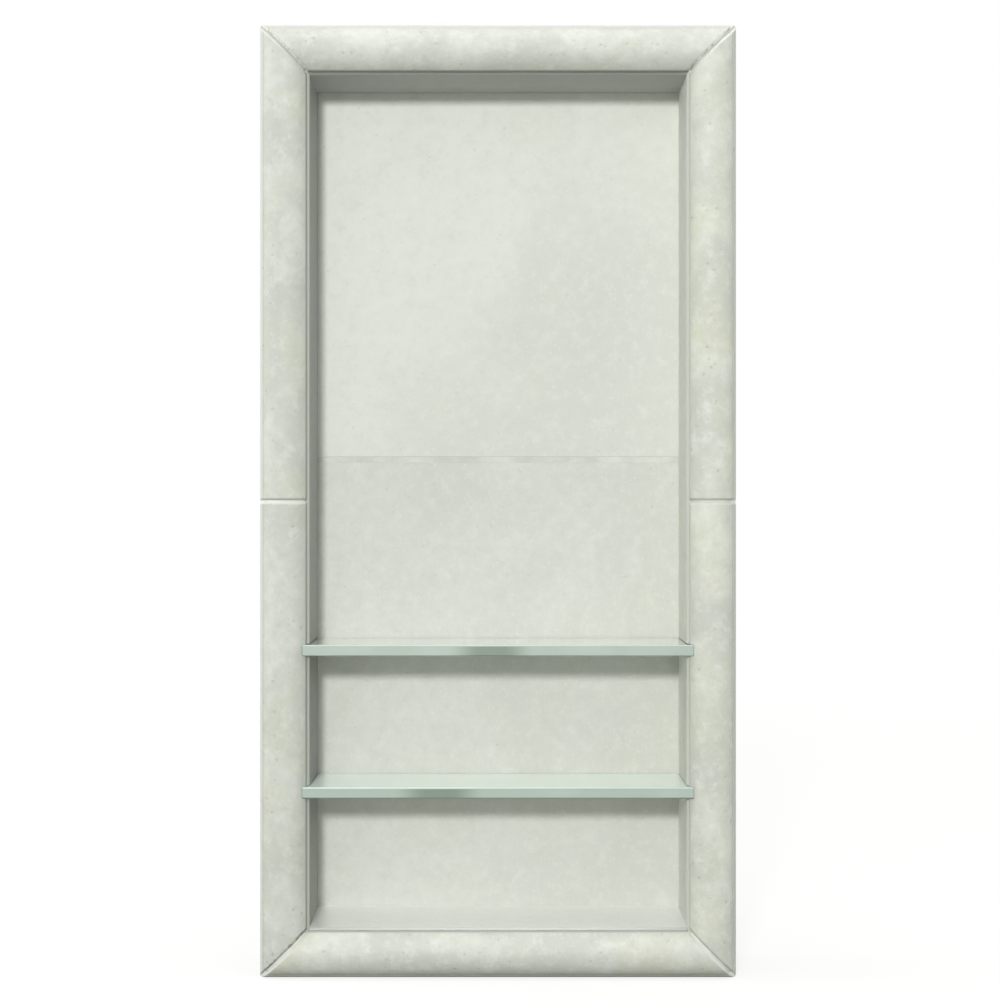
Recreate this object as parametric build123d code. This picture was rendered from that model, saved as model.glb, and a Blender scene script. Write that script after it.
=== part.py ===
from build123d import *

import math
import os

# Shower niche insert: a bonded stone box behind a mitred bullnose frame, with two glass shelves.
# All sizes are in millimetres. The origin is the middle of the opening on the face of the wall.
# x runs to the right, y into the wall and z up, so the frame looks towards negative y.

# Bullnose trim: six lengths make a frame that is one length wide and two lengths tall
trim_length = 406.0
trim_width = 40.0
trim_edge = 6.0  # height of the trim's two long edges above the wall
trim_crown = 11.0  # rise of the crown above those edges
trim_lip = 3.0  # width of the bevel beside the crown, along the outer edge
lip_fall = 3.8  # fall of that bevel towards the wall
rebate_depth = 3.0  # step in the back of the trim that takes the front edges of the box
bond_gap = 0.5  # adhesive gap round the box in that step

# Joints between two lengths of trim
joint_gap = 1.4
joint_ease = 2.2  # rounding of the crown where a length ends
joint_recess = 1.9  # how far the grout lies below the crown

# Stone box
reveal = 2.0  # strip of the box's front edges that shows inside the frame
panel_thickness = 12.0
panel_arris = 1.8  # bevel along the front edge of each side of the niche
recess_depth = 82.0  # face of the wall to the face of the back
sill_fall = 2.5  # drop of the sill from the back to the front, so that water runs out
seam_height = 37.0  # middle of the grouted seam in the back, above the middle of the opening
seam_gap = 5.0
seam_recess = 0.4  # how far the grout lies below the face of the back
seam_ease = 0.5  # bevel along both show edges of the seam
backer_height = 60.0  # strip bonded behind the seam
backer_thickness = 6.0
backer_margin = 20.0  # from the ends of that strip to the sides of the box

# Glass shelves
shelf_thickness = 9.5
shelf_arris = 0.9
shelf_proud = 0.4  # front of the glass before the crown at the ends of the shelf
compartment_height = 111.5  # clear height below each shelf
kerf_depth = 6.0  # slot in the side of the box that holds the end of a shelf
kerf_play = 0.6  # room over the glass in the slot
shelf_end_gap = 0.5
shelf_back_gap = 1.0

# Half sizes of the frame, of its opening, of the space inside the box and of the box
frame_x = trim_length / 2
frame_z = trim_length
opening_x = frame_x - trim_width
opening_z = frame_z - trim_width
inside_x = opening_x - reveal
inside_z = opening_z - reveal
box_x = inside_x + panel_thickness
box_z = inside_z + panel_thickness

# Depths along y
box_front = -rebate_depth
back_face = recess_depth
back_rear = recess_depth + panel_thickness

# Section of the trim
rebate_width = box_x + bond_gap - opening_x
crown_chord = trim_width - trim_lip
crown_top = trim_edge + trim_crown
crown_radius = (crown_chord**2 / 4 + trim_crown**2) / (2 * trim_crown)

# Shelf seats
kerf_x = inside_x + kerf_depth
shelf_x = kerf_x - shelf_end_gap
shelf_pitch = compartment_height + shelf_thickness
lower_seat = -inside_z + compartment_height
shelf_seats = {"lower_shelf": lower_seat, "upper_shelf": lower_seat + shelf_pitch}


def crown_height(u):
    """Height of the crown over the wall at the distance u from the trim's inner edge."""
    return crown_top - crown_radius + math.sqrt(crown_radius**2 - (u - crown_chord / 2) ** 2)


def block(x_span, y_span, z_span):
    """A box between the given limits along each axis."""
    spans = (x_span, y_span, z_span)
    middle = [(low + high) / 2 for low, high in spans]
    size = [high - low for low, high in spans]
    return Pos(*middle) * Box(*size)


def ease_front(panel, near, size):
    """The panel with a bevel along the edge of its front that is nearest to the given point."""
    edge = panel.edges().group_by(Axis.Y)[0].sort_by_distance(near)[0]
    return chamfer(edge, size)


def trim_section(set_back):
    """Section of the trim, from its inner edge outwards and from the wall to the viewer.

    The set-back lowers the face and draws in both edges, as for the grout between two lengths.
    """
    outer = trim_width - set_back
    edge = trim_edge - set_back
    crown_end = crown_chord - set_back
    foot = Polyline(
        (set_back, edge),
        (set_back, rebate_depth),
        (rebate_width, rebate_depth),
        (rebate_width, 0),
        (outer, 0),
        (outer, edge - lip_fall),
        (crown_end, edge),
    )
    crown = ThreePointArc((crown_end, edge), (crown_chord / 2, crown_top - set_back), (set_back, edge))
    return make_face([*foot.edges(), crown])


def trim_run(set_back=0.0):
    """Uncut trim along x with its inner edge on z = 0, long enough to pass both joints."""
    section_plane = Plane(origin=(0, 0, 0), x_dir=(0, 0, 1), z_dir=(1, 0, 0))
    return extrude(section_plane * trim_section(set_back), amount=frame_x + trim_width, both=True)


def joint_plane(direction, mitred):
    """Middle of the joint at one end of a length, with its normal out of that end."""
    slope = -1 if mitred else 0
    return Plane(origin=(direction * frame_x, 0, trim_width), z_dir=(direction, 0, slope))


def show_face_edges(end):
    """Edges of the crown and of the bevel beside it, on the cut face at one end of a length."""
    outwards = end.edges().sort_by(Axis.Z)
    crown = outwards.filter_by(GeomType.LINE, reverse=True)
    return [*crown, outwards[-2]]


def trim_piece(mitred_ends):
    """One length of trim along x, with its low and high end mitred or square, and both eased."""
    piece = trim_run()
    for direction, mitred in zip((-1, 1), mitred_ends):
        end = joint_plane(direction, mitred).offset(-joint_gap / 2)
        piece = split(piece, bisect_by=end, keep=Keep.BOTTOM)
    faces = piece.faces().sort_by(Axis.X)
    show_edges = [edge for end in (faces[0], faces[-1]) for edge in show_face_edges(end)]
    return fillet(show_edges, joint_ease)


def joint_grout(direction, mitred):
    """Grout in the joint at one end of a length: the half on this side of it and its mirror image."""
    middle = joint_plane(direction, mitred)
    half = split(trim_run(joint_recess), bisect_by=middle, keep=Keep.BOTTOM)
    half = split(half, bisect_by=middle.offset(-joint_gap / 2), keep=Keep.TOP)
    return half + mirror(half, about=middle)


def shelf_kerfs():
    """Slots across the niche for both shelves, open at the front and a little taller than the glass."""
    kerfs = [
        block((-kerf_x, kerf_x), (-crown_top, back_face), (seat, seat + shelf_thickness + kerf_play))
        for seat in shelf_seats.values()
    ]
    return Part() + kerfs


def trim_places():
    """Place of each length of trim, and whether its low and its high end are mitred."""
    up_left = Rot(Y=-90)
    down_right = Rot(Y=90)
    middle = trim_length / 2
    return {
        "top_trim": (Pos(Z=opening_z), (True, True)),
        "bottom_trim": (Pos(Z=-opening_z) * Rot(Y=180), (True, True)),
        "left_trim_upper": (Pos(X=-opening_x, Z=middle) * up_left, (False, True)),
        "left_trim_lower": (Pos(X=-opening_x, Z=-middle) * up_left, (True, False)),
        "right_trim_upper": (Pos(X=opening_x, Z=middle) * down_right, (True, False)),
        "right_trim_lower": (Pos(X=opening_x, Z=-middle) * down_right, (False, True)),
    }


def frame_pieces():
    """The six lengths of trim, with the inner edges of the sides notched for the shelves."""
    kerfs = shelf_kerfs()
    return {name: place * trim_piece(ends) - kerfs for name, (place, ends) in trim_places().items()}


def frame_grout():
    """Grout in the four mitres and in the joint halfway up each side."""
    joints = {
        "mitre_grout_top_left": ("top_trim", -1),
        "mitre_grout_top_right": ("top_trim", 1),
        "mitre_grout_bottom_left": ("bottom_trim", 1),
        "mitre_grout_bottom_right": ("bottom_trim", -1),
        "joint_grout_left": ("left_trim_upper", -1),
        "joint_grout_right": ("right_trim_upper", 1),
    }
    places = trim_places()
    grout = {}
    for name, (trim, direction) in joints.items():
        place, (low_mitred, high_mitred) = places[trim]
        grout[name] = place * joint_grout(direction, low_mitred if direction < 0 else high_mitred)
    return grout


def sill():
    """Sill between the sides of the box, with its top falling towards the front."""
    outline = Polyline(
        (box_front, -box_z),
        (back_face, -box_z),
        (back_face, -inside_z + sill_fall),
        (box_front, -inside_z),
        close=True,
    )
    return extrude(Plane.YZ * make_face(outline), amount=inside_x, both=True)


def box_panels():
    """The four sides of the niche, the uprights slotted for the shelves."""
    depth = (box_front, back_face)
    panels = {
        "left_return": block((-box_x, -inside_x), depth, (-box_z, box_z)),
        "right_return": block((inside_x, box_x), depth, (-box_z, box_z)),
        "top_return": block((-inside_x, inside_x), depth, (inside_z, box_z)),
        "sill": sill(),
    }
    mouth = (0, box_front, 0)
    kerfs = shelf_kerfs()
    return {name: ease_front(panel, mouth, panel_arris) - kerfs for name, panel in panels.items()}


def back_pieces():
    """Both panels of the back, the grout between them and the strip behind their seam."""
    width = (-box_x, box_x)
    depth = (back_face, back_rear)
    seam_low = seam_height - seam_gap / 2
    seam_high = seam_height + seam_gap / 2
    upper = block(width, depth, (seam_high, box_z))
    lower = block(width, depth, (-box_z, seam_low))
    seam = (0, back_face, seam_height)
    backer_x = box_x - backer_margin
    backer_depth = (back_rear, back_rear + backer_thickness)
    backer_span = (seam_height - backer_height / 2, seam_height + backer_height / 2)
    return {
        "back_panel_upper": ease_front(upper, seam, seam_ease),
        "back_panel_lower": ease_front(lower, seam, seam_ease),
        "back_seam_grout": block(width, (back_face + seam_recess, back_rear), (seam_low, seam_high)),
        "back_seam_strip": block((-backer_x, backer_x), backer_depth, backer_span),
    }


def shelves():
    """Two glass shelves with arrised edges, resting in the slots of the sides."""
    front = -crown_height(shelf_x - opening_x) - shelf_proud
    rear = back_face - shelf_back_gap
    glass = {
        name: block((-shelf_x, shelf_x), (front, rear), (seat, seat + shelf_thickness))
        for name, seat in shelf_seats.items()
    }
    return {name: chamfer(sheet.edges(), shelf_arris) for name, sheet in glass.items()}


os.makedirs("parts", exist_ok=True)
pieces = {**frame_pieces(), **frame_grout(), **box_panels(), **back_pieces(), **shelves()}
for name, piece in pieces.items():
    export_step(piece, f"parts/{name}.step")
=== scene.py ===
"""Looks of a shower niche insert: a honed stone box behind a mitred bullnose frame, with two glass shelves.

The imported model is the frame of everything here. Lengths are in metres, x runs to the right, y into the
wall and z up, and the origin is the middle of the opening on the face of the wall.
"""

import logging
import math
from dataclasses import dataclass, replace
from enum import Enum
from functools import partial
from typing import Any, Optional, Union

import bmesh
import bpy
from mathutils import Matrix, Vector, noise


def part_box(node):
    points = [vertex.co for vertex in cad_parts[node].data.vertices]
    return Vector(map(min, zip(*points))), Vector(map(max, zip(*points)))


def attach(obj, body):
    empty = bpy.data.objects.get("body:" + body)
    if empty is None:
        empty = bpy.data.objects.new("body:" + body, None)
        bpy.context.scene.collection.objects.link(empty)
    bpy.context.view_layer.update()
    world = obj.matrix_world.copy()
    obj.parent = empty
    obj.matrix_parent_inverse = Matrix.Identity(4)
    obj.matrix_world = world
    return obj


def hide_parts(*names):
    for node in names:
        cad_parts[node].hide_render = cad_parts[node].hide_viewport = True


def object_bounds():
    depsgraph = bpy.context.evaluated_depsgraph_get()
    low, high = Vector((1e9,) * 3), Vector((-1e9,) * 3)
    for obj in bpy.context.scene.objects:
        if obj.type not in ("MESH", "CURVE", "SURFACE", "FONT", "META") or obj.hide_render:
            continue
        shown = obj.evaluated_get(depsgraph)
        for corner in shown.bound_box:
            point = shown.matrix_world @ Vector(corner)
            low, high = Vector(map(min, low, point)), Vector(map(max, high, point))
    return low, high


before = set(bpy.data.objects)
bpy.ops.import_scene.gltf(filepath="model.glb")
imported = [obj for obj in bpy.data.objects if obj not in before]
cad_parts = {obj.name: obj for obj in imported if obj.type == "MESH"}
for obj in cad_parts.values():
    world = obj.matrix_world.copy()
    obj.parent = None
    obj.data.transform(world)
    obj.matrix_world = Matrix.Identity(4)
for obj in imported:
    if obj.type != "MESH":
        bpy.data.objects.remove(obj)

CAD_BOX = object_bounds()
MM = 0.001
BODY = "root"
LOG = logging.getLogger("niche_insert")
SLANT = math.sqrt(2)  # way along a mitred length for each step square to the mitre

Tree = bpy.types.NodeTree
Node = bpy.types.Node
Socket = bpy.types.NodeSocket
Material = bpy.types.Material
Object = bpy.types.Object
Value = Union[float, int, bool, str, tuple, Socket, Node, Material]

# Type names of the nodes that are used most
MATH = "ShaderNodeMath"
VECTOR_MATH = "ShaderNodeVectorMath"
MAP_RANGE = "ShaderNodeMapRange"
NOISE = "ShaderNodeTexNoise"
MIX = "ShaderNodeMix"
SPLIT = "ShaderNodeSeparateXYZ"
JOIN = "ShaderNodeCombineXYZ"
COORDINATES = "ShaderNodeTexCoord"
SURFACE = "ShaderNodeBsdfPrincipled"
OUTPUT = "ShaderNodeOutputMaterial"


def add_node(
    tree: Tree, kind: str, inputs: Optional[dict[Union[str, int], Value]] = None, **settings: Any
) -> Node:
    """Adds a node to a tree, with its settings and links.

    Args:
        tree: Tree that gets the node.
        kind: Type name of the node.
        inputs: Value, socket or node for each input, by its name or number. A node stands for its first
            output.
        settings: Properties of the node, set before its inputs.

    Returns:
        The new node.
    """
    node = tree.nodes.new(kind)
    for name, setting in settings.items():
        setattr(node, name, setting)
    for key, value in (inputs or {}).items():
        if isinstance(value, Node):
            value = value.outputs[0]
        if isinstance(value, Socket):
            tree.links.new(value, node.inputs[key])
        else:
            node.inputs[key].default_value = value
    return node


def colour(code: str, tone: float = 1.0) -> tuple[float, float, float, float]:
    """Turns an sRGB hex colour into linear light.

    Args:
        code: Six hex digits after a hash sign.
        tone: Factor that makes the colour lighter or darker.

    Returns:
        Linear red, green, blue and full alpha.
    """
    shares = [int(code[place : place + 2], 16) / 255 for place in (1, 3, 5)]
    linear = [s / 12.92 if s <= 0.04045 else ((s + 0.055) / 1.055) ** 2.4 for s in shares]
    return (*(tone * part for part in linear), 1.0)


def pattern_scale(size: float) -> float:
    """Scale of a procedural pattern whose features have the given size in metres."""
    return 1.0 / size


def new_material(name: str) -> tuple[Material, Tree]:
    """Makes an empty material.

    Args:
        name: Name of the real material and its finish.

    Returns:
        The material and its node tree.
    """
    material = bpy.data.materials.new(name)
    material.use_nodes = True
    material.node_tree.nodes.clear()
    return material, material.node_tree


@dataclass(frozen=True)
class Limestone:
    """Pale limestone, ground and honed: soft clouds and mottles, chalky flecks, faint pits, a satin face."""

    name: str
    pale: str
    grey: str
    warm: str
    chalk: str
    pit: str
    cloud: float
    stain: float
    mottle: float
    fleck: float
    cloud_share: float
    stain_share: float
    mottle_share: float
    fleck_share: float
    pit_share: float
    roughness: float
    relief: float
    roughness_spread: float = 0.1
    refraction: float = 1.49
    shine: float = 0.22
    seal: float = 0.0
    seal_roughness: float = 0.1
    lime: float = 0.0
    lime_roughness: float = 0.3
    # Set for each piece so that it renders lighter or darker as the light falls on it: painted light and
    # shade
    tone: float = 1.0
    # Slope that greys the clouds across the piece: painted shade
    drift: tuple[float, float, float] = (0.0, 0.0, 0.0)
    slab_step: tuple[float, float, float] = (1.7, 0.9, 2.3)

    def material(self, piece: str, seed: float) -> Material:
        """Makes the stone of one piece.

        Args:
            piece: Name of the piece, which is cut from its own part of the slab.
            seed: Place in the slab.

        Returns:
            The material.
        """
        material, tree = new_material(f"{self.name}_{piece}")
        add = partial(add_node, tree)
        place = add(COORDINATES).outputs["Object"]
        part = tuple(seed * step for step in self.slab_step)
        slab = add("ShaderNodeMapping", {"Vector": place, "Location": part})

        # Clouds and stains of the bed, and the fine mottling of the ground face
        clouds, stains, mottles = (
            add(NOISE, {"Vector": slab, "Scale": pattern_scale(size), **pattern})
            for size, pattern in (
                (self.cloud, {"Detail": 2.0, "Distortion": 0.5}),
                (self.stain, {"Detail": 3.0, "Distortion": 0.8}),
                (self.mottle, {"Detail": 4.0, "Roughness": 0.72}),
            )
        )
        # The clouds grey along the drift, towards the right and, on the upper back panel, towards the bottom:
        # painted shade
        way = add(VECTOR_MATH, {0: place, 1: self.drift}, operation="DOT_PRODUCT").outputs["Value"]
        clouds_and_painted_shade = add(MATH, {0: way, 1: clouds}, operation="ADD")

        # Chalky flecks and pits of uneven outline, each in its own cell
        wander = add(
            VECTOR_MATH,
            {0: mottles.outputs["Color"], 1: (self.fleck, self.fleck, self.fleck), 2: slab},
            operation="MULTIPLY_ADD",
        )
        cells = add("ShaderNodeTexVoronoi", {"Vector": wander, "Scale": pattern_scale(self.fleck)})
        kind = add("ShaderNodeSeparateColor", {0: cells.outputs["Color"]}).outputs

        # For each layer: its pattern, where in it the layer begins and is full, and its share there
        bands = {
            "spot": (cells, 0.42, 0.12, 1.0),
            "cloud": (clouds_and_painted_shade, 0.36, 0.64, self.cloud_share),
            "stain": (stains, 0.50, 0.70, self.stain_share),
            "chalk": (mottles, 0.50, 0.72, self.mottle_share),
            "smudge": (mottles, 0.48, 0.28, self.mottle_share),
            "fleck": (kind["Red"], 0.62, 0.90, self.fleck_share),
            "pit": (kind["Green"], 0.90, 0.99, self.pit_share),
        }
        share = {
            layer: add(MAP_RANGE, {"Value": source, "From Min": low, "From Max": high, "To Max": most})
            for layer, (source, low, high, most) in bands.items()
        }
        fleck, pit = (
            add(MATH, {0: share[layer], 1: share["spot"]}, operation="MULTIPLY") for layer in ("fleck", "pit")
        )
        layers = [
            (share["cloud"], self.grey),
            (share["stain"], self.warm),
            (share["chalk"], self.chalk),
            (share["smudge"], self.grey),
            (fleck, self.chalk),
            (pit, self.pit),
        ]
        toned = [(amount, colour(code, self.tone)) for amount, code in layers]
        toned += [(amount, colour(code)) for amount, code in self.place_layers(tree, place)]
        tone: Value = colour(self.pale, self.tone)
        for amount, shade in toned:
            tone = add(MIX, {0: amount, 6: tone, 7: shade}, data_type="RGBA").outputs[2]
        smooth = self.roughness - self.roughness_spread
        rough = self.roughness + self.roughness_spread
        satin = add(MAP_RANGE, {"Value": mottles, "To Min": smooth, "To Max": rough})
        height = add(MATH, {0: mottles, 1: pit}, operation="SUBTRACT")
        bump = add("ShaderNodeBump", {"Height": height, "Strength": 1.0, "Distance": self.relief})
        shader = add(
            SURFACE,
            {
                "Base Color": tone,
                "Roughness": satin,
                "Normal": bump,
                "IOR": self.refraction,
                "Specular IOR Level": self.shine,
                "Coat Weight": self.seal,
                "Coat Roughness": self.seal_roughness,
                "Sheen Weight": self.lime,
                "Sheen Roughness": self.lime_roughness,
            },
        )
        add(OUTPUT, {"Surface": shader})
        return material

    def place_layers(self, tree: Tree, place: Socket) -> list[tuple[Node, str]]:
        """Gives the layers that keep to a place on the piece.

        Args:
            tree: Tree of the material.
            place: Place in the frame.

        Returns:
            Share and colour of each layer, the lowest first.
        """
        return []


@dataclass(frozen=True)
class BullnoseStone(Limestone):
    """Stone of the trim.

    A painted shade darkens it towards the niche, painted light and shade lie along the lip with a painted
    shade line in its crease, and a painted shade line runs along the inner arris. The bevels at the cuts
    carry a painted highlight where they look up and a painted shade where they look down, and dark chips
    along the mitres are partly painted shade.
    """

    # Painted shade that darkens the top and left lengths towards the niche
    film: str = "#9A9D93"
    film_share: float = 0.0
    film_width: float = 18 * MM
    # Painted highlight and shade on the bevels at the cuts, pale where a bevel looks up and grey where it
    # looks down
    mitre_bevel: str = "#EEF0E9"
    butt_bevel: str = "#EEF0E9"
    bevel_share: float = 0.75
    bevel_width: float = 2.5 * MM
    bevel_core: float = 0.7
    # Dark chips along the mitres: partly painted shade, crowded on the lower left mitre to darken its outer
    # corner
    chip: str = "#82867C"
    chip_share: float = 0.0
    chip_size: float = 4.5 * MM
    chip_width: float = 2.8 * MM
    chip_core: float = 0.5
    # Painted shade line along the inner arris, where the trim meets the box: darkest on the top, faint on the
    # right
    adhesive: str = "#858980"
    opening: tuple[float, float] = (163 * MM, 366 * MM)
    line_width: float = 1.3 * MM
    line_sharpness: float = 3.0
    outside: tuple[float, float] = (203 * MM, 406 * MM)
    # Painted shade line in the crease between the crown and the lip
    dust: str = "#B4B7AD"
    dust_share: float = 0.5
    crease: float = 3.0 * MM
    crease_width: float = 0.7 * MM
    # Painted light and shade on the outer lip, set for each length: a little lighter on the left, darker at
    # the bottom and right
    rim: str = "#E4E6DF"
    rim_width: float = 2.6 * MM
    rim_core: float = 0.6

    def place_layers(self, tree: Tree, place: Socket) -> list[tuple[Node, str]]:
        """Gives painted shade towards the niche, painted light and shade on the lip, painted shade in its
        crease, painted light and shade on the bevels, their chips, and painted shade along the inner arris.

        Args:
            tree: Tree of the material.
            place: Place in the frame.

        Returns:
            Share and colour of each, the lowest first.
        """
        add = partial(add_node, tree)
        sides = add(VECTOR_MATH, {0: place}, operation="ABSOLUTE")
        from_butt = add(SPLIT, {0: sides}).outputs["Z"]
        beyond = {}
        for edge, (x, z) in (("outer", self.outside), ("inner", self.opening)):
            past = add(VECTOR_MATH, {0: sides, 1: (x, 0.0, z)}, operation="SUBTRACT")
            ways = add(SPLIT, {0: past}).outputs
            beyond[edge] = add(MATH, {0: ways["X"], 1: ways["Z"]}, operation="MAXIMUM")
        askew = add(MATH, {0: ways["X"], 1: ways["Z"]}, operation="SUBTRACT")
        from_mitre = add(MATH, {0: askew}, operation="ABSOLUTE")
        within = add(MATH, {0: beyond["outer"], 1: self.crease}, operation="ADD")
        from_crease = add(MATH, {0: within}, operation="ABSOLUTE")
        ragged = add(NOISE, {"Vector": place, "Scale": pattern_scale(self.chip_size), "Detail": 3.0})
        bevel = self.bevel_width
        chip = SLANT * self.chip_width
        crease_core = self.crease_width / self.line_sharpness

        # For each layer: the way it is measured, where it begins and is full, and its share there
        bands = {
            "film": (beyond["inner"], self.film_width, 0.0, self.film_share),
            "rim": (beyond["outer"], -self.rim_width, -self.rim_width * self.rim_core, 1.0),
            "dust": (from_crease, self.crease_width, crease_core, self.dust_share),
            "mitre": (from_mitre, SLANT * bevel, SLANT * bevel * self.bevel_core, self.bevel_share),
            "butt": (from_butt, bevel, bevel * self.bevel_core, self.bevel_share),
            "broken": (ragged, 0.48, 0.58, self.chip_share),
            "brink": (from_mitre, chip, chip * self.chip_core, 1.0),
            "line": (beyond["inner"], self.line_width, self.line_width / self.line_sharpness, 1.0),
        }
        share = {
            layer: add(MAP_RANGE, {"Value": source, "From Min": low, "From Max": high, "To Max": most})
            for layer, (source, low, high, most) in bands.items()
        }
        chipped = add(MATH, {0: share["broken"], 1: share["brink"]}, operation="MULTIPLY")
        return [
            (share["film"], self.film),
            (share["rim"], self.rim),
            (share["dust"], self.dust),
            (share["mitre"], self.mitre_bevel),
            (share["butt"], self.butt_bevel),
            (chipped, self.chip),
            (share["line"], self.adhesive),
        ]


@dataclass(frozen=True)
class PanelStone(Limestone):
    """Stone of the box, honed inside and left as sawn, greyer and rough, where the wall hides it."""

    # Painted shade on the front arris of the box, set darker for the top return and the sill
    arris: str = "#D2D4CC"
    arris_front: tuple[float, float] = (-0.6 * MM, -1.0 * MM)
    sawn: str = "#C9CCC3"
    sawn_share: float = 0.8
    sawn_depth: float = 0.3 * MM
    groove: str = "#B2B5AB"
    groove_share: float = 0.45
    groove_size: float = 3.5 * MM  # coarser than real saw marks, so that they show
    groove_run: float = 0.04
    outside: tuple[float, float, float] = (172.5 * MM, 93.5 * MM, 375.5 * MM)

    def place_layers(self, tree: Tree, place: Socket) -> list[tuple[Node, str]]:
        """Gives the painted shade on the arris at the mouth of the niche, and the sawn outside with its saw
        marks.

        Args:
            tree: Tree of the material.
            place: Place in the frame.

        Returns:
            Share and colour of each, the lowest first.
        """
        add = partial(add_node, tree)
        depth = add(SPLIT, {0: place}).outputs["Y"]
        sides = add(VECTOR_MATH, {0: place}, operation="ABSOLUTE")
        past = add(VECTOR_MATH, {0: sides, 1: self.outside}, operation="SUBTRACT")
        ways = add(SPLIT, {0: past}).outputs
        across = add(MATH, {0: ways["X"], 1: ways["Z"]}, operation="MAXIMUM")
        beyond = add(MATH, {0: across, 1: ways["Y"]}, operation="MAXIMUM")
        drawn = add("ShaderNodeMapping", {"Vector": place, "Scale": (self.groove_run, 1.0, 1.0)})
        marks = add(NOISE, {"Vector": drawn, "Scale": pattern_scale(self.groove_size), "Detail": 4.0})
        bands = {
            "arris": (depth, *self.arris_front, 1.0),
            "sawn": (beyond, 0.0, self.sawn_depth, self.sawn_share),
            "scored": (marks, 0.45, 0.7, self.groove_share),
        }
        share = {
            layer: add(MAP_RANGE, {"Value": source, "From Min": low, "From Max": high, "To Max": most})
            for layer, (source, low, high, most) in bands.items()
        }
        grooves = add(MATH, {0: share["sawn"], 1: share["scored"]}, operation="MULTIPLY")
        return [(share["arris"], self.arris), (share["sawn"], self.sawn), (grooves, self.groove)]


@dataclass(frozen=True)
class CementGrout:
    """Sanded cement grout, tooled and wiped: matte, with sand grains and patches rubbed thin."""

    name: str
    paste: str
    sand: str
    grain: float = 1.2 * MM  # coarser than real sand, so that it shows
    grain_share: float = 0.35
    drift: float = 28 * MM
    relief: float = 0.2 * MM
    roughness: float = 0.92
    shine: float = 0.2

    def material(self) -> Material:
        """Makes the grout of the joints.

        Returns:
            The material.
        """
        material, tree = new_material(self.name)
        add = partial(add_node, tree)
        place = add(COORDINATES).outputs["Object"]
        grains = add(
            NOISE, {"Vector": place, "Scale": pattern_scale(self.grain), "Detail": 2.0, "Roughness": 0.6}
        )
        drifts = add(NOISE, {"Vector": place, "Scale": pattern_scale(self.drift), "Detail": 3.0})
        amount = add(MATH, {0: grains, 1: self.grain_share, 2: drifts}, operation="MULTIPLY_ADD")
        thin = add(MAP_RANGE, {"Value": amount, "From Min": 0.55, "From Max": 0.80})
        tone = add(MIX, {0: thin, 6: colour(self.sand), 7: colour(self.paste)}, data_type="RGBA").outputs[2]
        bump = add("ShaderNodeBump", {"Height": grains, "Strength": 1.0, "Distance": self.relief})
        shader = add(
            SURFACE,
            {
                "Base Color": tone,
                "Roughness": self.roughness,
                "Normal": bump,
                "Specular IOR Level": self.shine,
            },
        )
        add(OUTPUT, {"Surface": shader})
        return material


@dataclass(frozen=True)
class Shelf:
    """One shelf: along x, the stretch of painted dark reflection on its edge, its lime and its painted shade.
    """

    node: str
    deep_middle: float
    deep_half: float
    lime: float
    drips: float


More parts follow.
